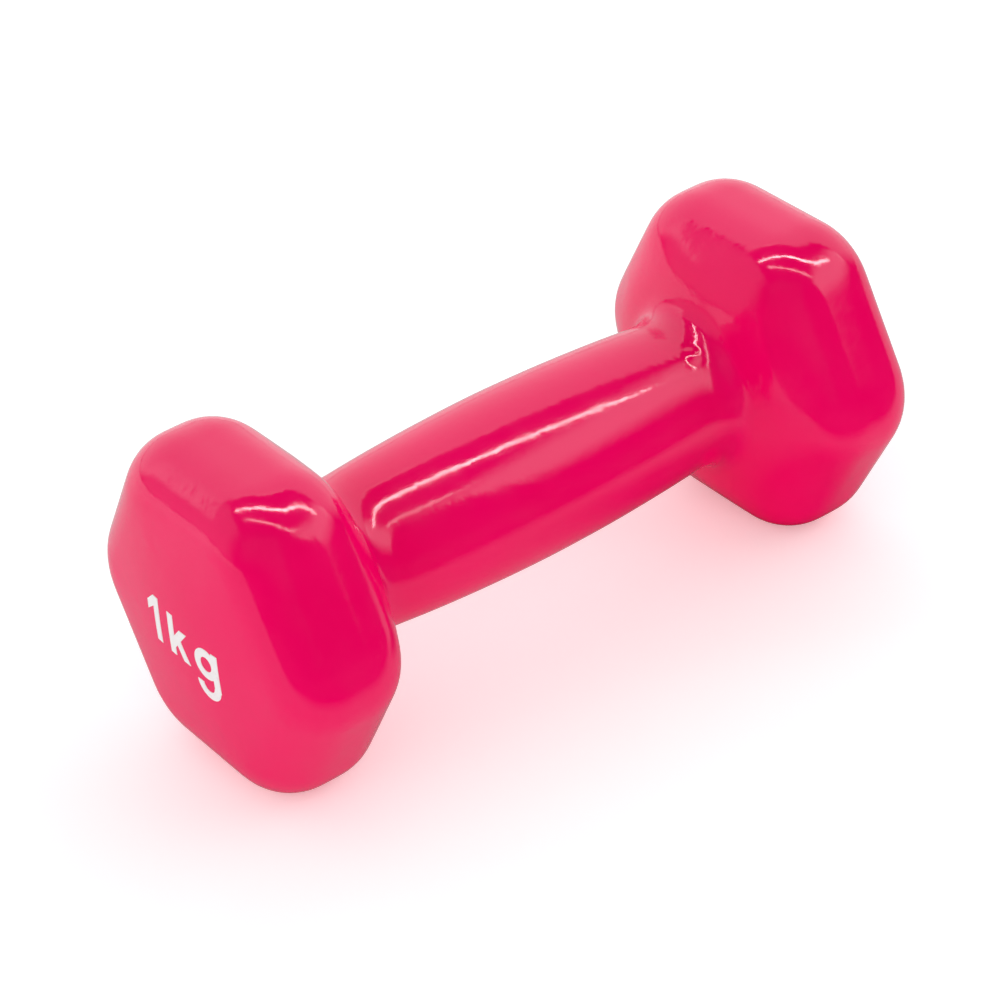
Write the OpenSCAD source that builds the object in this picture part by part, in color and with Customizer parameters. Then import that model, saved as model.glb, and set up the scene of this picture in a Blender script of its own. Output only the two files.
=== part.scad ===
// Hex dumbbell, 1 kg: a one-piece iron casting dipped in glossy vinyl.
// X runs along the grip and Z is up. The origin is the middle of the footprint, on the
// surface that the two lower flats rest on. The printed end is at -X, the plugged end at +X.

/* [Overall] */
// End to end length over the vinyl
total_len = 133; // [130:0.5:140]
// Height of a head across its upper and lower flats, over the vinyl
head_height = 57.2; // [54:0.2:60]

/* [Heads] */
// Radius of the six long corners, as seen from the end
corner_r = 14; // [12:0.1:16]
// Radius of the edges between the side faces and the end faces
edge_r = 10; // [8:0.1:11]
// Width of the flat strip round the middle of each head
flat_strip = 3.7; // [2:0.1:6]
// How far the outer end face crowns outwards
end_crown = 1.65; // [0.8:0.05:3]
// How far the inner face swells towards the grip
neck_swell = 7.6; // [6:0.1:9.5]
// Sideways spread of the corners, where 1 is a regular hexagon
side_spread = 0.97; // [0.94:0.01:1]

/* [Grip] */
// Diameter at the middle of the grip, over the vinyl
grip_mid_d = 29.5; // [27:0.1:31]
// Diameter where the grip meets the heads, over the vinyl
grip_end_d = 25.7; // [23:0.1:26.5]
// Radius of the hollow where the grip runs into a head
neck_fillet_r = 4.5; // [1:0.1:5]

/* [Vinyl skin] */
// Thickness of the vinyl
coat_t = 2; // [1.5:0.1:2.5]
// Diameter of the small blister in the skin beside one neck
blister_d = 4; // [3:0.1:5]
// Height of the blister over the grip
blister_h = 0.7; // [0.4:0.1:1]
// How far the blister lies from the neck
blister_gap = 2.5; // [1:0.1:4]
// Angle of the blister from straight up towards -Y
blister_angle = 30; // [0:1:60]

/* [Hanger hole] */
// Diameter of the drilled hole that the casting hangs from in the dip tank
hanger_d = 6; // [5:0.1:7]
// Depth of the drilled hole in the iron, to the end of its full diameter
hanger_depth = 14; // [10:0.5:18]
// Diameter of the opening that the hanger leaves in the skin
plug_head_d = 9; // [8.5:0.1:11]
// Length of the plug's stem inside the iron
plug_stem_len = 9; // [6:0.5:9.5]
// Crown of the plug's head
plug_crown = 0.3; // [0.2:0.05:0.5]

/* [Weight print] */
// Height of the numeral
print_height = 8.6; // [6:0.1:9]
// Width of a printed stroke
stroke_w = 1.5; // [1:0.1:1.6]
// How far the ink stands over the vinyl
ink_proud = 0.08; // [0.05:0.01:0.15]

/* [Hidden] */

skin_colour = [0.90, 0.00, 0.33];
iron_colour = [0.27, 0.27, 0.28];
plug_colour = [0.78, 0.00, 0.27];
ink_colour = [0.96, 0.94, 0.94];

// Facets of a full circle on the rounded heads, with steps that meet every face squarely
head_facets = 36;
round_facets = 96;
drill_point_angle = 118;
// Each ink piece is bedded this far under the crown, below the facets of the skin
ink_bed = 0.06;
// The toe of the neck hollow stands this far over the swell, so that it crosses it squarely
toe_lift = 0.08;

half_len = total_len / 2;
half_height = head_height / 2;
// Distance from a head's axis to the flat part of its faces
face_in = half_height - edge_r;
// Middle planes of the outer and inner edge rounds
outer_edge_x = half_len - end_crown - edge_r;
inner_edge_x = outer_edge_x - flat_strip;
// Radii of the two shallow domes, each tangent to the edge rounds
crown_r = dome_radius(end_crown);
swell_r = dome_radius(neck_swell);
crown_x = half_len - crown_r;
swell_x = inner_edge_x - edge_r - neck_swell + swell_r;
// The grip is an arc of this radius turned about X, and it meets the swell at neck_x
neck_x = swell_x - sqrt(pow(swell_r, 2) - pow(grip_end_d / 2, 2));
grip_sag = (grip_mid_d - grip_end_d) / 2;
barrel_r = (pow(neck_x, 2) + pow(grip_sag, 2)) / (2 * grip_sag);
barrel_y = grip_mid_d / 2 - barrel_r;

function dome_radius(sag) = edge_r + (pow(face_in, 2) / sag + sag) / 2;
function dome_angle(radius) = asin(face_in / (radius - edge_r));

// Points along an arc about c, from angle a0 to angle a1
function arc(c, r, a0, a1, steps) =
    [for (i = [0:steps]) let (a = a0 + (a1 - a0) * i / steps) c + r * [cos(a), sin(a)]];

// Where two circles about a and b, with radii ra and rb, cross on the side of larger y
function crossing(a, ra, b, rb) =
    let (
        d = norm(b - a),
        along = (ra * ra - rb * rb + d * d) / (2 * d),
        out = sqrt(ra * ra - along * along),
        u = (b - a) / d
    )
    a + along * u + out * [-u[1], u[0]];

function direction(v) = atan2(v[1], v[0]);

// Turns a profile drawn as [distance along X, radius] about the X axis
module turned(points, facets) {
    rotate([0, 90, 0])
        rotate_extrude($fn = facets)
            polygon([for (p = points) [p[1], p[0]]]);
}

// One rounded corner of a head: both edge rounds and the flat strip between them
module corner_post(inset) {
    post_r = corner_r - edge_r;
    steps = head_facets / 4;
    r = edge_r - inset;
    turned(
        concat(
            [[outer_edge_x + r, 0]],
            arc([outer_edge_x, post_r], r, 0, 90, steps),
            arc([inner_edge_x, post_r], r, 90, 180, steps),
            [[inner_edge_x - r, 0]]
        ),
        head_facets
    );
}

// A shallow cap on the axis. side is 1 for the outer crown and -1 for the inner swell
module dome(centre_x, radius, side, inset) {
    reach = dome_angle(radius);
    steps = 6;
    rim = radius - inset;
    axis_angle = side > 0 ? 0 : 180;
    turned(
        concat(
            [[centre_x + side * rim * cos(reach), 0]],
            arc([centre_x, 0], rim, axis_angle + side * reach, axis_angle, steps)
        ),
        head_facets
    );
}

module head_form(inset) {
    post_offset = (half_height - corner_r) / cos(30);
    hull() {
        for (k = [0:5])
            translate([0, side_spread * post_offset * cos(60 * k), post_offset * sin(60 * k)])
                corner_post(inset);
        dome(crown_x, crown_r, 1, inset);
        dome(swell_x, swell_r, -1, inset);
    }
}

// The barrel-shaped grip with a hollow at each neck. Its ends are buried in the heads
module grip_form(inset) {
    barrel = [0, barrel_y];
    swell = [swell_x, 0];
    seat_r = swell_r + toe_lift;
    hollow = crossing(barrel, barrel_r + neck_fillet_r, swell, seat_r + neck_fillet_r);
    barrel_end = direction(hollow - barrel);
    hollow_start = direction(barrel - hollow);
    hollow_end = direction(swell - hollow);
    hollow_r = neck_fillet_r + inset;
    buried_x = inner_edge_x;
    half = concat(
        arc(barrel, barrel_r - inset, 90, barrel_end, 18),
        arc(hollow, hollow_r, hollow_start, hollow_end, 8)
    );
    last = half[len(half) - 1];
    right = concat(half, [[buried_x, last[1] * 0.9], [buried_x, 0]]);
    left = [for (i = [len(right) - 1:-1:1]) [-right[i][0], right[i][1]]];
    turned(concat(left, right), round_facets);
}

// The whole dumbbell, with its surface moved in by inset
module body_form(inset) {
    translate([0, 0, half_height]) {
        head_form(inset);
        mirror([1, 0, 0]) head_form(inset);
        grip_form(inset);
    }
}

// Cylinder along X from x0 to x1 on the dumbbell's axis
module axial_rod(d, x0, x1) {
    translate([x0, 0, half_height])
        rotate([0, 90, 0])
            cylinder(h = x1 - x0, d = d, $fn = round_facets);
}

// The drilled hanger hole, open past the end of the iron
module hanger_bore() {
    iron_end = half_len - coat_t;
    tip = hanger_d / 2 / tan(drill_point_angle / 2);
    axial_rod(hanger_d, iron_end - hanger_depth, iron_end + coat_t);
    translate([iron_end - hanger_depth, 0, half_height])
        rotate([0, -90, 0])
            cylinder(h = tip, d1 = hanger_d, d2 = 0, $fn = round_facets);
}

// A low round bump in the skin beside the far neck
module blister() {
    bump_r = (pow(blister_d / 2, 2) + pow(blister_h, 2)) / (2 * blister_h);
    blister_x = neck_x - blister_gap;
    grip_r = barrel_y + sqrt(pow(barrel_r, 2) - pow(blister_x, 2));
    translate([0, 0, half_height])
        rotate([blister_angle, 0, 0])
            translate([blister_x, 0, grip_r + blister_h - bump_r])
                sphere(r = bump_r, $fn = round_facets);
}

// An upright printed bar with its foot at the given point
module upright_bar(foot, height) {
    translate([foot[0] - stroke_w / 2, foot[1]]) square([stroke_w, height]);
}

module letter_ring(d) {
    difference() {
        circle(d = d, $fn = round_facets);
        circle(d = d - 2 * stroke_w, $fn = round_facets);
    }
}

module numeral_one(height) {
    flag_x = -0.3 * height;
    flag_y = 0.8 * height;
    left = -stroke_w / 2;
    polygon([
        [left, 0],
        [-left, 0],
        [-left, height],
        [left, height],
        [flag_x, flag_y],
        [flag_x, flag_y - 1.2 * stroke_w],
        [left, height - 1.4 * stroke_w]
    ]);
}

// Width along the level of a stroke that runs in the given direction
function level_width(run) = stroke_w * norm(run) / run[1];

// Lower-case k as one outline: a stem, and an arm and a leg cut level at their ends
module letter_k(height) {
    edge_x = stroke_w / 2;
    arm_start = [edge_x, 0.2 * height];
    arm_end = [0.56 * height, 0.74 * height];
    arm = arm_end - arm_start;
    leg_start = arm_start + 0.2 * arm;
    leg_foot = [0.37 * height, 0];
    leg = leg_start - leg_foot;
    // The share of the arm's lower edge that the leg takes up
    leg_share = level_width(leg) / (arm[0] - leg[0] * arm[1] / leg[1]);
    polygon([
        [-edge_x, 0],
        [edge_x, 0],
        arm_start,
        leg_start,
        leg_foot,
        leg_foot + [level_width(leg), 0],
        leg_start + leg_share * arm,
        arm_end,
        arm_end - [level_width(arm), 0],
        arm_start + [0, level_width(arm) * arm[1] / arm[0]],
        [edge_x, height],
        [-edge_x, height]
    ]);
}

module letter_g(height) {
    bowl_d = 0.74 * height;
    // The stem stands a little outside the bowl and the tail, so that they cross squarely
    stem_x = (bowl_d - stroke_w) / 2 + 0.1 * stroke_w;
    tail_y = -0.16 * height;
    stem_foot = tail_y - 0.25 * stroke_w;
    translate([0, bowl_d / 2]) letter_ring(bowl_d);
    upright_bar([stem_x, stem_foot], bowl_d - stem_foot);
    translate([0, tail_y])
        intersection() {
            letter_ring(bowl_d);
            translate([-bowl_d, -bowl_d]) square([2 * bowl_d, bowl_d]);
        }
}

// The three characters side by side, about the origin
module weight_text() {
    foot = -0.42 * print_height;
    unit_height = 0.9 * print_height;
    translate([-0.74 * print_height, foot]) numeral_one(print_height);
    translate([-0.26 * print_height, foot]) letter_k(unit_height);
    translate([0.8 * print_height, foot]) letter_g(unit_height);
}

// The characters as ink on the crown of the -X end, read from outside
module ink_form() {
    depth = 4;
    translate([0, 0, half_height])
        intersection() {
            translate([-half_len - depth / 2, 0, 0])
                rotate([90, 0, -90])
                    translate([0, 0, -depth])
                        linear_extrude(depth) weight_text();
            difference() {
                translate([-crown_x, 0, 0]) sphere(r = crown_r + ink_proud, $fn = round_facets);
                translate([-crown_x, 0, 0]) sphere(r = crown_r - ink_bed, $fn = round_facets);
            }
        }
}

module plug_form() {
    head_edge_x = half_len - plug_crown;
    iron_end = half_len - coat_t;
    stem_end = iron_end - plug_stem_len;
    crown = (pow(plug_head_d / 2, 2) + pow(plug_crown, 2)) / (2 * plug_crown);
    translate([0, 0, half_height])
        turned(
            concat(
                [[stem_end, 0], [stem_end, hanger_d / 2 - 0.5], [stem_end + 0.5, hanger_d / 2]],
                [[iron_end, hanger_d / 2], [iron_end, plug_head_d / 2]],
                arc([half_len - crown, 0], crown, asin(plug_head_d / 2 / crown), 0, 6)
            ),
            round_facets
        );
}

module cast_iron_core() {
    color(iron_colour)
        difference() {
            body_form(coat_t);
            hanger_bore();
        }
}

module vinyl_coat() {
    color(skin_colour)
        difference() {
            union() {
                body_form(0);
                blister();
            }
            body_form(coat_t);
            axial_rod(plug_head_d, half_len - 2 * coat_t, half_len + coat_t);
            ink_form();
        }
}

module hanger_plug() {
    color(plug_colour) plug_form();
}

module weight_print() {
    color(ink_colour) ink_form();
}

cast_iron_core();
vinyl_coat();
hanger_plug();
weight_print();
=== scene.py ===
"""A small hex dumbbell in glossy pink-red dipped vinyl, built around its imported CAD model."""

import math

import bpy
import numpy as np
from mathutils import Matrix, Vector


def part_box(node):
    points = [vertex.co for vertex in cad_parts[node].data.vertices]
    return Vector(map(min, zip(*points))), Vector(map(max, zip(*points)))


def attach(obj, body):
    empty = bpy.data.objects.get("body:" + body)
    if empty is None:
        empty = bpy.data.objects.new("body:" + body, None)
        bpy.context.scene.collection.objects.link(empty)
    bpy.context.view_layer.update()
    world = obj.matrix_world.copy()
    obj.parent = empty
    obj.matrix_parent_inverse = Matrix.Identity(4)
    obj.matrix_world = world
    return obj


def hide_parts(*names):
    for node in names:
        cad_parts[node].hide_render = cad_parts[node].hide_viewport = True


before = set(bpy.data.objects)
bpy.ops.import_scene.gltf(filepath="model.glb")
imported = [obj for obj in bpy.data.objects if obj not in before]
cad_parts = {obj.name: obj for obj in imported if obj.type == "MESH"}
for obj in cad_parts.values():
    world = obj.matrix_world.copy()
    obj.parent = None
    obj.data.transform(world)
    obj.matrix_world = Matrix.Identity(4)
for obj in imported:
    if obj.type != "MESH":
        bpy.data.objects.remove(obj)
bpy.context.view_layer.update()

MM = 0.001  # shapes are worked out in millimetres about the grip's axis, and made in metres

# Size, from the frame
skin_low, skin_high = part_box("vinyl_coat")
HALF_LEN = -skin_low.x / MM
HEAD_HEIGHT = (skin_high.z - skin_low.z) / MM
AXIS_Z = HEAD_HEIGHT / 2

# Heads, in millimetres
CORNER_R = 14.0  # six long corners, seen from the end
EDGE_R = 10.0  # edges between the side faces and the end faces
FLAT_STRIP = 3.7  # flat band round the middle of a head
END_CROWN = 1.65  # rise of the outer end face
NECK_SWELL = 7.6  # rise of the inner face towards the grip
SIDE_SPREAD = 0.97  # sideways spread of the corners, where 1 is a regular hexagon

# Grip and skin, in millimetres
GRIP_MID_R = 14.75
GRIP_END_R = 12.85
NECK_FILLET_R = 3.8
NECK_EASE_REACH = 3.5  # how far to each side of a neck its curve is eased
NECK_DRAW = 1.3  # how far a hollow neck is drawn back into its head
NECK_DRAW_REACH = 3.2
SKIN = 1.8  # vinyl thickness, less a gap that keeps the skin clear of the iron
WAVE_HEIGHT = 0.012  # unevenness of the dipped surface

# Plug and the opening round it, on the +X end
PLUG_R = 4.5
LIP_R = 0.35

# Places along X that follow from those
FACE_IN = AXIS_Z - EDGE_R
OUTER_EDGE_X = HALF_LEN - END_CROWN - EDGE_R
INNER_EDGE_X = OUTER_EDGE_X - FLAT_STRIP
HEAD_X = (OUTER_EDGE_X + INNER_EDGE_X) / 2


def dome_radius(sag):
    """Radius of a shallow dome that leaves the edge rounds without a kink and rises by sag."""
    return EDGE_R + (FACE_IN**2 / sag + sag) / 2


CROWN_R = dome_radius(END_CROWN)
SWELL_R = dome_radius(NECK_SWELL)
CROWN_X = HALF_LEN - CROWN_R
SWELL_X = INNER_EDGE_X - EDGE_R - NECK_SWELL + SWELL_R
NECK_X = SWELL_X - math.sqrt(SWELL_R**2 - GRIP_END_R**2)
GRIP_SAG = GRIP_MID_R - GRIP_END_R
BARREL_R = (NECK_X**2 + GRIP_SAG**2) / (2 * GRIP_SAG)
BARREL_Y = GRIP_MID_R - BARREL_R

# Fineness of the mesh
AROUND = 240  # points round the axis, a multiple of 8
HEAD_RINGS = 76
NECK_RINGS = 15
GRIP_RINGS = 40
HEAD_SAMPLES = 400  # points that a head's outline is measured at before its rings are spaced
BARREL_SAMPLES = 200
INNER_STEP = 3  # the inside of the skin has one ring for this many outside


# ---------------------------------------------------------------- the shape of a head


def dome_support(along, side, centre_x, radius, sense):
    """How far a shallow dome on the axis reaches along normals with these two components."""
    reach = math.asin(FACE_IN / (radius - EDGE_R))
    cap = centre_x * along + radius
    rim = (centre_x + sense * radius * math.cos(reach)) * along + radius * math.sin(reach) * side
    return np.where(sense * along >= math.cos(reach), cap, rim)


def head_support(normal):
    """How far a head reaches along each normal: six rounded corner posts and two domes, in
    one taut skin."""
    along = normal[..., 0]
    side = np.hypot(normal[..., 1], normal[..., 2])
    turn = np.radians(60 * np.arange(6))
    post_offset = (AXIS_Z - CORNER_R) / math.cos(math.radians(30))
    posts = post_offset * np.array([SIDE_SPREAD * np.cos(turn), np.sin(turn)])
    across = (normal[..., 1:] @ posts).max(axis=-1) + (CORNER_R - EDGE_R) * side
    body = across + np.maximum(OUTER_EDGE_X * along, INNER_EDGE_X * along) + EDGE_R
    crown = dome_support(along, side, CROWN_X, CROWN_R, 1)
    swell = dome_support(along, side, SWELL_X, SWELL_R, -1)
    return np.maximum(body, np.maximum(crown, swell))


def directions(polar, around):
    """Unit vectors at polar angles off +X and angles around X from +Y."""
    return np.stack(
        [np.cos(polar), np.sin(polar) * np.cos(around), np.sin(polar) * np.sin(around)], axis=-1
    )


def touching_planes(polar, around):
    """Normals with these angles, and how far from a head's middle the plane lies that touches
    the head at each."""
    normal = directions(polar, around)
    return normal, head_support(normal) - HEAD_X * normal[..., 0]


def plane_distance(way, normal, reach):
    """Distance along each way from a head's middle to a plane, or infinity if it is nearly
    level with the plane."""
    least_slope = 0.05
    slope = np.sum(normal * way, axis=-1)
    return np.where(slope > least_slope, reach / np.maximum(slope, least_slope), np.inf)


def head_distance(way):
    """Distance along each way from a head's middle to its skin. The head is convex, so that is
    to the nearest of all touching planes, found by ever smaller steps from a coarse search."""
    coarse = np.meshgrid(np.radians(np.arange(1, 180, 2)), np.radians(np.arange(0, 91, 2)))
    polar, around = (angle.ravel() for angle in coarse)
    planes = touching_planes(polar, around)
    best = [plane_distance(one, *planes).argmin() for one in way]
    polar, around = polar[best], around[best]
    moves = np.array([(i, j) for i in (0, -1, 1) for j in (0, -1, 1)])
    for step in np.radians(np.repeat([1, 0.5, 0.25, 0.12, 0.06, 0.03], 2)):
        near_polar = polar[:, None] + step * moves[:, 0]
        near_around = around[:, None] + step * moves[:, 1]
        near = plane_distance(way[:, None], *touching_planes(near_polar, near_around))
        pick = near.argmin(axis=1)[:, None]
        polar = np.take_along_axis(near_polar, pick, axis=1)[:, 0]
        around = np.take_along_axis(near_around, pick, axis=1)[:, 0]
    return near.min(axis=1)


# ---------------------------------------------------------------- outlines in a half plane


def arc(centre, radius, start, end, steps):
    """Points along an arc, from angle start to angle end in radians."""
    turn = np.linspace(start, end, steps + 1)
    return np.array(centre) + radius * np.stack([np.cos(turn), np.sin(turn)], axis=-1)


def circles_cross(a, ra, b, rb):
    """Where two circles cross, on the side of larger y."""
    a, b = np.array(a), np.array(b)
    gap = np.linalg.norm(b - a)
    along = (ra**2 - rb**2 + gap**2) / (2 * gap)
    out = math.sqrt(ra**2 - along**2)
    u = (b - a) / gap
    return a + along * u + out * np.array([-u[1], u[0]])


def heading(v):
    return math.atan2(v[1], v[0])


def resampled(line, share):
    """Points at the given shares of a polyline's length."""
    step = np.linalg.norm(np.diff(line, axis=0), axis=1)
    run = np.concatenate([[0], np.cumsum(step)])
    want = share * run[-1]
    return np.stack([np.interp(want, run, line[:, k]) for k in range(line.shape[1])], axis=-1)


def graded(count, first, last, bend):
    """Shares from 0 to 1 whose steps go from size first to size last, late if bend is high."""
    t = (np.arange(count) + 0.5) / count
    step = first + (last - first) * t**bend
    return np.concatenate([[0], np.cumsum(step)]) / step.sum()


def half_skin():
    """Rings of the skin from the outer end of the +X head to the middle of the grip, as an
    array of ring, point and coordinate."""
    barrel_centre = np.array([0, BARREL_Y])
    swell_centre = np.array([SWELL_X, 0])
    hollow = circles_cross(
        barrel_centre, BARREL_R + NECK_FILLET_R, swell_centre, SWELL_R + NECK_FILLET_R
    )
    to_swell = heading(swell_centre - hollow)
    to_barrel = heading(barrel_centre - hollow)
    neck = arc(hollow, NECK_FILLET_R, to_swell, to_barrel, NECK_RINGS)
    barrel_start = heading(hollow - barrel_centre)
    barrel = arc(barrel_centre, BARREL_R, barrel_start, math.pi / 2, BARREL_SAMPLES)
    tail = np.concatenate([neck[1:-1], resampled(barrel, graded(GRIP_RINGS, 0.3, 1.5, 0.7))])

    first = math.atan2(PLUG_R + LIP_R, HALF_LEN - HEAD_X)
    last = math.atan2(neck[0, 1], neck[0, 0] - HEAD_X)
    polar = np.linspace(first, last, HEAD_SAMPLES)
    turn = 2 * math.pi * np.arange(AROUND) / AROUND
    quarter = AROUND // 4
    grid = directions(*np.meshgrid(polar, turn[: quarter + 1]))
    distance = head_distance(grid.reshape(-1, 3)).reshape(quarter + 1, -1)
    lines = []
    for reach in distance:
        head = np.stack([HEAD_X + reach * np.cos(polar), reach * np.sin(polar)], axis=-1)
        head[-1] = neck[0]
        lines.append(np.concatenate([resampled(head, graded(HEAD_RINGS, 1.0, 0.3, 4)), tail]))
    folded = [quarter - abs(k % (2 * quarter) - quarter) for k in range(AROUND)]
    line = np.array(lines)[folded].transpose(1, 0, 2)
    x, r = line[..., 0], line[..., 1]
    return np.stack([x, r * np.cos(turn), r * np.sin(turn)], axis=-1)


# ---------------------------------------------------------------- the skin as a mesh


def relaxed(grid, rounds):
    """The grid with its tangent lines melted into each other, as poured vinyl does. Each round
    smooths the grid and then swells it back to size. The end rings stay."""
    for _ in range(rounds):
        for factor in (0.5, -0.34):
            inner = grid[1:-1]
            beside = np.roll(inner, 1, axis=1) + np.roll(inner, -1, axis=1)
            grid[1:-1] = inner + factor * ((grid[:-2] + grid[2:] + beside) / 4 - inner)
    return grid


def eased(grid, rounds):
    """The grid with its hollow necks eased along the length, so that their curve builds up
    gently."""
    from_neck = (np.abs(grid[1:-1, :, :1]) - NECK_X) / NECK_EASE_REACH
    near = np.exp(-(from_neck**4))
    for _ in range(rounds):
        grid[1:-1] += 0.5 * near * ((grid[:-2] + grid[2:]) / 2 - grid[1:-1])
    return grid


def drawn_back(grid):
    """The grid with each hollow neck drawn back into its head, which flattens the swell round
    it and thins the skin there."""
    x = grid[..., 0]
    near = np.exp(-(((np.abs(x) - NECK_X) / NECK_DRAW_REACH) ** 2))
    moved = grid.copy()
    moved[..., 0] += np.sign(x) * NECK_DRAW * near
    return moved


def grid_normals(grid):
    """Outward unit normals of a grid of rings."""
    along = np.gradient(grid, axis=0)
    around = np.roll(grid, -1, axis=1) - np.roll(grid, 1, axis=1)
    normal = np.cross(along, around)
    return normal / np.linalg.norm(normal, axis=-1, keepdims=True)


def waves(points, seed, count, shortest, longest):
    """A smooth random field of about unit size, from plane waves."""
    draw = np.random.default_rng(seed)
    total = np.zeros(points.shape[:-1])
    for _ in range(count):
        way = draw.normal(size=3)
        way /= np.linalg.norm(way)
        length = draw.uniform(shortest, longest)
        total += np.sin(2 * math.pi * (points @ way) / length + draw.uniform(0, 2 * math.pi))
    return total / math.sqrt(count / 2)


# A blister in the skin beside the +X neck
BLISTER_R = 1.9
BLISTER_RISE = 0.2
BLISTER_X = NECK_X - 2.7
BLISTER_TURN = math.radians(30)  # from straight up towards -Y
DITCH_DEPTH = 0.03
DITCH_AT = 1.1  # as a share of the blister's radius
DITCH_WIDTH = 0.2


def blistered(grid):
    """The grid with the blister raised on it, inside a faint ditch."""
    near_side = 3  # only points this near the blister's level, and not those across the grip
    grip_r = BARREL_Y + math.sqrt(BARREL_R**2 - BLISTER_X**2)
    out = np.array([0, -math.sin(BLISTER_TURN), math.cos(BLISTER_TURN)])
    offset = grid - (np.array([BLISTER_X, 0, 0]) + grip_r * out)
    height = offset @ out
    away = np.linalg.norm(offset - height[..., None] * out, axis=-1) / BLISTER_R
    dome = BLISTER_RISE * np.clip(1 - away**2, 0, 1) ** 2
    ditch = DITCH_DEPTH * np.exp(-(((away - DITCH_AT) / DITCH_WIDTH) ** 2))
    return grid + ((dome - ditch) * (np.abs(height) < near_side))[..., None] * out


def cap_patch(ring_start, verts, faces, dome, outward):
    """Closes the ring of AROUND vertices at ring_start with a square-gridded patch on a dome
    about the axis: dome is its centre and signed radius along X."""
    side = AROUND // 4
    ring = np.array(verts[ring_start])
    radius = math.hypot(ring[1], ring[2])
    index = {}
    for i in range(side + 1):
        for j in range(side + 1):
            a, b = 2 * i / side - 1, 2 * j / side - 1
            size = max(abs(a), abs(b))
            if size == 0:
                turn = 0.0
            elif abs(a) >= abs(b):
                turn = math.pi / 4 * (b / a) + (0 if a > 0 else math.pi)
            else:
                turn = math.pi / 2 - math.pi / 4 * (a / b) + (0 if b > 0 else math.pi)
            if size == 1:
                index[i, j] = ring_start + round(turn / (2 * math.pi) * AROUND) % AROUND
                continue
            r = size * radius
            x = dome[0] + math.copysign(math.sqrt(dome[1] ** 2 - r * r), dome[1])
            index[i, j] = len(verts)
            verts.append((x, r * math.cos(turn), r * math.sin(turn)))
    for i in range(side):
        for j in range(side):
            quad = [index[i, j], index[i + 1, j], index[i + 1, j + 1], index[i, j + 1]]
            faces.append(quad if outward else quad[::-1])


def ring_faces(ring_count):
    """Faces between neighbouring rings of a stack of them."""
    faces = []
    for ring in range(ring_count - 1):
        for k in range(AROUND):
            a, b = ring * AROUND + k, ring * AROUND + (k + 1) % AROUND
            faces.append([a, a + AROUND, b + AROUND, b])
    return faces


def circle_ring(x, radius):
    """A round ring of AROUND points about the axis."""
    turn = 2 * math.pi * np.arange(AROUND) / AROUND
    return np.stack([np.full(AROUND, x), radius * np.cos(turn), radius * np.sin(turn)], axis=-1)


def mesh_object(name, verts, faces):
    """A smooth mesh object from vertices in millimetres about the grip's axis."""
    mesh = bpy.data.meshes.new(name)
    points = np.array(verts) * MM + np.array([0, 0, AXIS_Z * MM])
    mesh.from_pydata([tuple(p) for p in points], [], [tuple(f) for f in faces])
    mesh.shade_smooth()
    mesh.update()
    piece = bpy.data.objects.new(name, mesh)
    bpy.context.scene.collection.objects.link(piece)
    return piece


def make_skin():
    """The whole vinyl skin, inside and out, open only where the plug sits."""
    half = half_skin()
    mirrored = half[::-1][1:] * np.array([-1, 1, 1])
    outer = relaxed(eased(np.concatenate([half, mirrored]), 60), 10)
    normal = grid_normals(outer)
    sideways = np.clip(1 - np.abs(normal[..., 0]), 0, 1) ** 0.5
    height = WAVE_HEIGHT * sideways * waves(outer, seed=5, count=24, shortest=9, longest=30)
    outer = outer + height[..., None] * normal
    inner = (outer - SKIN * normal)[::INNER_STEP]
    outer = blistered(drawn_back(outer))
    lip_x = outer[0, :, 0].mean()
    lip = [circle_ring(lip_x - SKIN, PLUG_R), circle_ring(lip_x - SKIN * 0.6, PLUG_R)]
    for turn in np.radians([0, 25, 50, 72]):
        x = lip_x - LIP_R + LIP_R * math.sin(turn)
        lip.append(circle_ring(x, PLUG_R + LIP_R - LIP_R * math.cos(turn)))
    rings = np.concatenate([inner[::-1], np.array(lip), outer])
    verts = [tuple(v) for v in rings.reshape(-1, 3)]
    faces = ring_faces(len(rings))
    cap_patch(0, verts, faces, (-CROWN_X, -(CROWN_R - SKIN)), True)
    cap_patch((len(rings) - 1) * AROUND, verts, faces, (-CROWN_X, -CROWN_R), False)
    return mesh_object("dipped_skin", verts, faces)


# ---------------------------------------------------------------- materials


def new_material(name):
    material = bpy.data.materials.new(name)
    material.use_nodes = True
    shader = material.node_tree.nodes["Principled BSDF"]
    return material, material.node_tree, shader


def noise(tree, scale, detail, roughness=0.5):
    """Noise over the object's own coordinates, with scale in cycles a metre."""
    where = tree.nodes.new("ShaderNodeTexCoord")
    texture = tree.nodes.new("ShaderNodeTexNoise")
    texture.inputs["Scale"].default_value = scale
    texture.inputs["Detail"].default_value = detail
    texture.inputs["Roughness"].default_value = roughness
    tree.links.new(where.outputs["Object"], texture.inputs["Vector"])
    return texture.outputs["Fac"]


def ramp(tree, value, low, high, first, last):
    """first at value low, last at value high, and a blend between."""
    node = tree.nodes.new("ShaderNodeMapRange")
    node.inputs["From Min"].default_value = low
    node.inputs["From Max"].default_value = high
    node.inputs["To Min"].default_value = first
    node.inputs["To Max"].default_value = last
    tree.links.new(value, node.inputs["Value"])
    return node.outputs["Result"]


def blended(tree, value, first, last):
    """A colour between two, by value. Each of the two is a tuple or a node's output."""
    node = tree.nodes.new("ShaderNodeMix")
    node.data_type = "RGBA"
    for name, colour in (("A", first), ("B", last)):
        if isinstance(colour, tuple):
            node.inputs[name].default_value = (*colour, 1)
        else:
            tree.links.new(colour, node.inputs[name])
    tree.links.new(value, node.inputs["Factor"])
    return node.outputs["Result"]


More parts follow.
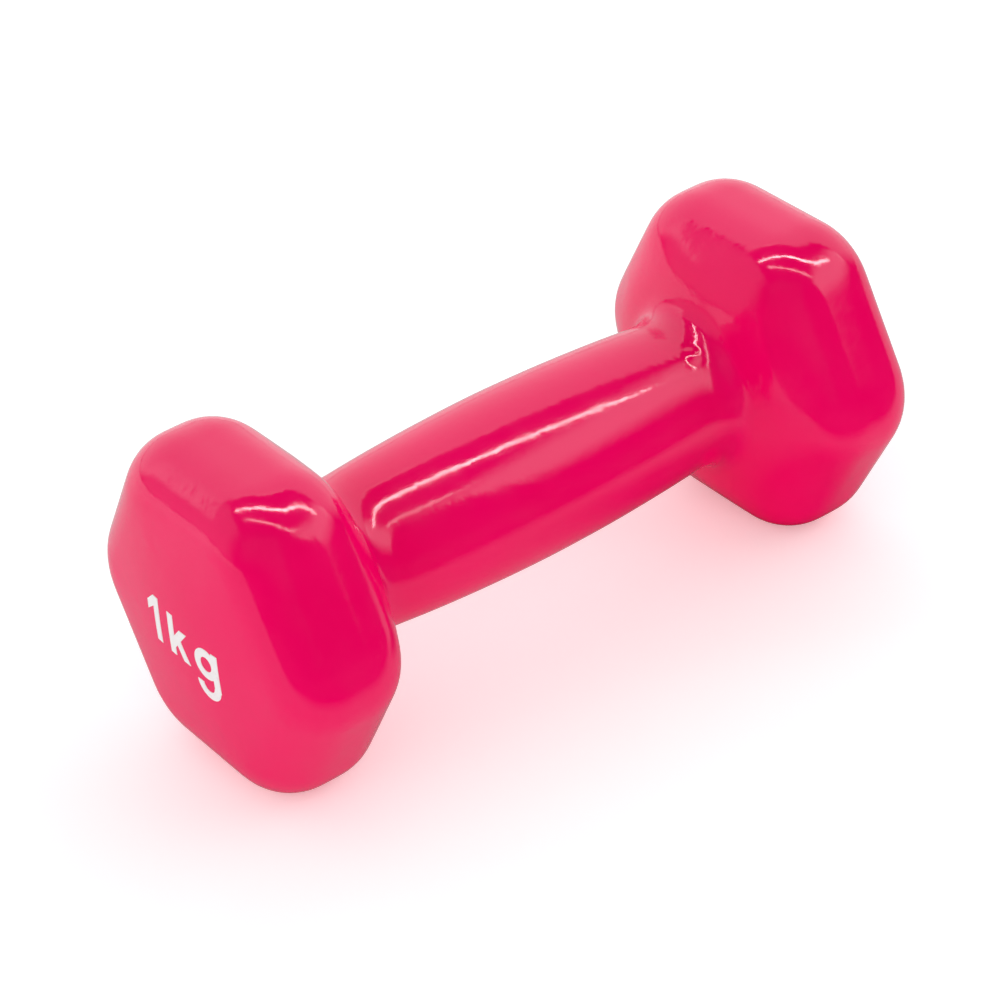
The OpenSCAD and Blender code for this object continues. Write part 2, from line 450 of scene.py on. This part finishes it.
def bumps(tree, *layers):
    """A chain of bump nodes from pairs of height output and depth in metres."""
    normal = None
    for height, depth in layers:
        node = tree.nodes.new("ShaderNodeBump")
        node.inputs["Distance"].default_value = depth
        tree.links.new(height, node.inputs["Height"])
        if normal is not None:
            tree.links.new(normal, node.inputs["Normal"])
        normal = node.outputs["Normal"]
    return normal


def vinyl_material(name, light, dark, roughness):
    """Glossy dipped vinyl: faintly patchy in colour and gloss, with a fine orange peel."""
    material, tree, shader = new_material(name)
    patches = noise(tree, 45, 3)
    shader.inputs["IOR"].default_value = 1.52
    colour = blended(tree, ramp(tree, patches, 0.35, 0.65, 0, 1), dark, light)
    tree.links.new(colour, shader.inputs["Base Color"])
    smears = noise(tree, 160, 4)
    tree.links.new(
        ramp(tree, smears, 0.35, 0.7, roughness * 0.8, roughness * 1.35), shader.inputs["Roughness"]
    )
    peel = noise(tree, 420, 1)
    pimples = noise(tree, 1100, 1)
    tree.links.new(bumps(tree, (peel, 0.00003), (pimples, 0.00001)), shader.inputs["Normal"])
    return material


def ink_material():
    """White pad-printed ink, thin in small spots."""
    material, tree, shader = new_material("white_ink")
    cover = noise(tree, 900, 3)
    white, thin = (0.88, 0.86, 0.86), (0.84, 0.62, 0.68)
    colour = blended(tree, ramp(tree, cover, 0.62, 0.8, 0, 0.6), white, thin)
    tree.links.new(colour, shader.inputs["Base Color"])
    tree.links.new(ramp(tree, cover, 0.3, 0.7, 0.28, 0.45), shader.inputs["Roughness"])
    tree.links.new(bumps(tree, (noise(tree, 3000, 2), 0.00001)), shader.inputs["Normal"])
    return material


def iron_material():
    """Dark iron, rough as sand casting leaves it."""
    material, tree, shader = new_material("cast_iron")
    shader.inputs["Metallic"].default_value = 0.85
    grit = noise(tree, 1400, 6, 0.65)
    tree.links.new(
        blended(tree, grit, (0.045, 0.043, 0.042), (0.13, 0.125, 0.12)), shader.inputs["Base Color"]
    )
    tree.links.new(ramp(tree, grit, 0.3, 0.7, 0.5, 0.75), shader.inputs["Roughness"])
    tree.links.new(bumps(tree, (grit, 0.0002)), shader.inputs["Normal"])
    return material


def paper_material(name):
    """A matt material, still without its colour."""
    material, tree, shader = new_material(name)
    shader.inputs["Roughness"].default_value = 0.9
    shader.inputs["Specular IOR Level"].default_value = 0.1
    return material, tree, shader


def dress(piece, material):
    piece.data.materials.clear()
    piece.data.materials.append(material)


# ---------------------------------------------------------------- camera, floor and light

CAMERA_AZIMUTH = math.radians(-35.63)
CAMERA_ELEVATION = math.radians(35.15)
CAMERA_ROLL = math.radians(-4.28)
CAMERA_DISTANCE = 0.5636
CAMERA_TARGET = Vector((-0.00286, 0.00083, AXIS_Z * MM - 0.00439))
SENSOR = 36.0
FOCAL_SHARE = 3.413  # focal length over the frame's width


def make_camera():
    """The camera, and the level directions to its right and away from it."""
    az, el = CAMERA_AZIMUTH, CAMERA_ELEVATION
    back = Vector((math.sin(az) * math.cos(el), -math.cos(az) * math.cos(el), math.sin(el)))
    level_right = (-back).cross(Vector((0, 0, 1))).normalized()
    level_up = level_right.cross(-back)
    cos, sin = math.cos(CAMERA_ROLL), math.sin(CAMERA_ROLL)
    right = level_right * cos + level_up * sin
    up = level_up * cos - level_right * sin
    data = bpy.data.cameras.new("camera")
    data.sensor_width = SENSOR
    data.lens = SENSOR * FOCAL_SHARE
    data.clip_start = 0.01
    camera = bpy.data.objects.new("camera", data)
    bpy.context.scene.collection.objects.link(camera)
    turn = Matrix((right, up, back)).transposed().to_4x4()
    camera.matrix_world = Matrix.Translation(CAMERA_TARGET + back * CAMERA_DISTANCE) @ turn
    bpy.context.scene.camera = camera
    away = Vector((-back.x, -back.y, 0)).normalized()
    return level_right, away


def soften(data, soft):
    """Fades a light panel towards its four edges, over this share of its length and width."""
    data.use_nodes = True
    tree = data.node_tree
    place = tree.nodes.new("ShaderNodeNewGeometry")
    middle = tree.nodes.new("ShaderNodeVectorMath")
    middle.operation = "SUBTRACT"
    middle.inputs[1].default_value = (0.5, 0.5, 0)
    size = tree.nodes.new("ShaderNodeVectorMath")
    size.operation = "ABSOLUTE"
    split = tree.nodes.new("ShaderNodeSeparateXYZ")
    both = tree.nodes.new("ShaderNodeMath")
    both.operation = "MULTIPLY"
    tree.links.new(place.outputs["Parametric"], middle.inputs[0])
    tree.links.new(middle.outputs[0], size.inputs[0])
    tree.links.new(size.outputs[0], split.inputs[0])
    for axis in range(2):
        fade = tree.nodes.new("ShaderNodeMapRange")
        fade.interpolation_type = "SMOOTHSTEP"
        fade.inputs["From Min"].default_value = 0.5
        fade.inputs["From Max"].default_value = 0.5 - soft[axis]
        tree.links.new(split.outputs[axis], fade.inputs["Value"])
        tree.links.new(fade.outputs["Result"], both.inputs[axis])
    tree.links.new(both.outputs[0], tree.nodes["Emission"].inputs["Strength"])


def light_panel(name, stand, centre, along, across, radiance, soft=(0.01, 0.01)):
    """A rectangular light that faces the object, even in brightness as the object sees it.
    Its centre and its two edges are given as right, away and up from the camera's side."""
    centre, along, across = (stand @ Vector(v) for v in (centre, along, across))
    data = bpy.data.lights.new(name, "AREA")
    data.shape = "RECTANGLE"
    data.size = along.length
    data.size_y = across.length
    data.energy = radiance * math.pi * data.size * data.size_y
    soften(data, soft)
    lamp = bpy.data.objects.new(name, data)
    bpy.context.scene.collection.objects.link(lamp)
    side = along.normalized()
    over = (across - side * across.dot(side)).normalized()
    back = side.cross(over)
    if back.dot(centre) < 0:
        side, back = -side, -back
    turn = Matrix((side, over, back)).transposed().to_4x4()
    lamp.matrix_world = Matrix.Translation(CAMERA_TARGET + centre) @ turn
    return lamp


def floor_sheet(name, low, high, height, material):
    """A flat rectangle on the floor between two corners."""
    (x0, y0), (x1, y1) = low, high
    mesh = bpy.data.meshes.new(name)
    corners = [(x0, y0, height), (x1, y0, height), (x1, y1, height), (x0, y1, height)]
    mesh.from_pydata(corners, [], [(0, 1, 2, 3)])
    sheet = bpy.data.objects.new(name, mesh)
    bpy.context.scene.collection.objects.link(sheet)
    dress(sheet, material)
    return sheet


# The sheet on the floor that the gloss sees, grey with painted shade, in metres
SHEET_END_Y = -0.08
FAR_HEAD_FOOT = (0.04, -0.022, 0)
# Painted shade of the floor near and in front of the object, paler behind it
SHEET_GREY = (0.5, 0.5, 0.5)
# Near-black painted shadow of the far head, round its foot on the sheet
SHEET_PAINTED_SHADOW = (0.05, 0.05, 0.05)
SHEET_PALE = (0.9, 0.9, 0.9)


def make_floor():
    """A wide white floor, lit a little from below like a light table, that the gloss doesn't
    see."""
    material, tree, shader = paper_material("floor_paper")
    tooth = noise(tree, 60, 4)
    colour = blended(tree, tooth, (0.94, 0.94, 0.94), (0.96, 0.96, 0.96))
    tree.links.new(colour, shader.inputs["Base Color"])
    shader.inputs["Emission Color"].default_value = (1, 1, 1, 1)
    shader.inputs["Emission Strength"].default_value = 0.24
    floor = floor_sheet("floor", (-6, -6), (6, 6), -0.0001, material)
    floor.visible_glossy = False
    return floor


def sheet_colour(tree):
    """Grey, black at the sheet's end and pale behind the object, with a painted shadow at the foot
    of the far head. The grey is painted shade of the floor, and the black end stands in for the
    dark room beyond."""
    where = tree.nodes.new("ShaderNodeTexCoord").outputs["Object"]
    split = tree.nodes.new("ShaderNodeSeparateXYZ")
    tree.links.new(where, split.inputs[0])
    front = ramp(tree, split.outputs["Y"], SHEET_END_Y, -0.055, 0, 1)
    rear = ramp(tree, split.outputs["Y"], 0.03, 0.2, 0, 1)
    reach = tree.nodes.new("ShaderNodeVectorMath")
    reach.operation = "DISTANCE"
    reach.inputs[1].default_value = FAR_HEAD_FOOT
    tree.links.new(where, reach.inputs[0])
    past_painted_shadow = ramp(tree, reach.outputs["Value"], 0.01, 0.035, 0, 1)
    # The painted shadow round the far head's foot
    with_painted_shadow = blended(tree, past_painted_shadow, SHEET_PAINTED_SHADOW, SHEET_GREY)
    grey = blended(tree, front, (0, 0, 0), with_painted_shadow)
    return blended(tree, rear, grey, SHEET_PALE)


def make_sheet():
    """A greyer stand-in for the floor that only the gloss sees, whose grey is painted shade. It
    ends just in front of the object, with the dark of the room beyond."""
    material, tree, shader = paper_material("painted_shade_sheet")
    tree.links.new(sheet_colour(tree), shader.inputs["Base Color"])
    sheet = floor_sheet("sheet", (-2, SHEET_END_Y), (2, 2), -0.00005, material)
    sheet.visible_camera = False
    sheet.visible_diffuse = False
    sheet.visible_shadow = False
    return sheet


def make_world():
    """An even white surround that lights the object without showing in its gloss."""
    world = bpy.data.worlds.new("studio")
    world.use_nodes = True
    background = world.node_tree.nodes["Background"]
    background.inputs["Color"].default_value = (1, 1, 1, 1)
    background.inputs["Strength"].default_value = 0.46
    bpy.context.scene.world = world
    world.cycles_visibility.glossy = False


def make_lights(right, away):
    """A light tent, open and dark towards the camera, with two tubes across its roof and a fill
    from the front. The tubes show only in the gloss, and the fill never does."""
    stand = Matrix((right, away, Vector((0, 0, 1)))).transposed()
    light_panel("back_wall", stand, (-0.4, 1.0, 0.5), (5.2, 0, 0), (0, -1.0, 1.0), 1.0, (0.2, 0.03))
    light_panel("back_edge", stand, (-0.2, 0.53, 1.0), (1.4, 0, 0), (0, 0.07, 0), 0.8, (0.3, 0.3))
    light_panel("left_wall", stand, (-1.2, 0.0, 0.6), (0, 1.6, 0), (0.3, 0, 1.3), 0.45, (0.3, 0.1))
    light_panel(
        "right_wall", stand, (1.0, -0.03, 0.75), (0, 1.0, 0), (-0.3, 0, 1.0), 1.6, (0.06, 0.4)
    )
    across = (0, 0.05, 0)
    soft = (0.1, 0.1)
    tubes = [
        light_panel("tube", stand, (0.15, 0.1, 1.0), (1.9, 0, 0), across, 22, soft),
        light_panel("second_tube", stand, (0.15, -0.27, 1.0), (1.5, -0.2, 0), across, 7, soft),
    ]
    for tube in tubes:
        tube.visible_diffuse = False
    fill = light_panel("front_fill", stand, (-0.6, -1.3, 0.9), (2.4, 0, 0), (0, 0.8, 0.9), 1.1)
    fill.visible_glossy = False


# ---------------------------------------------------------------- the scene

right, away = make_camera()
floor = make_floor()
sheet = make_sheet()
make_world()
make_lights(right, away)
bpy.context.scene.view_settings.view_transform = "Standard"

skin = make_skin()
dress(skin, vinyl_material("pink_vinyl", (0.89, 0.0, 0.115), (0.86, 0.0, 0.105), 0.1))
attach(skin, "root")
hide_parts("vinyl_coat")

dress(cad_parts["weight_print"], ink_material())
dress(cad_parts["cast_iron_core"], iron_material())
dress(
    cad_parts["hanger_plug"],
    vinyl_material("plug_vinyl", (0.66, 0.0, 0.05), (0.58, 0.0, 0.04), 0.22),
)
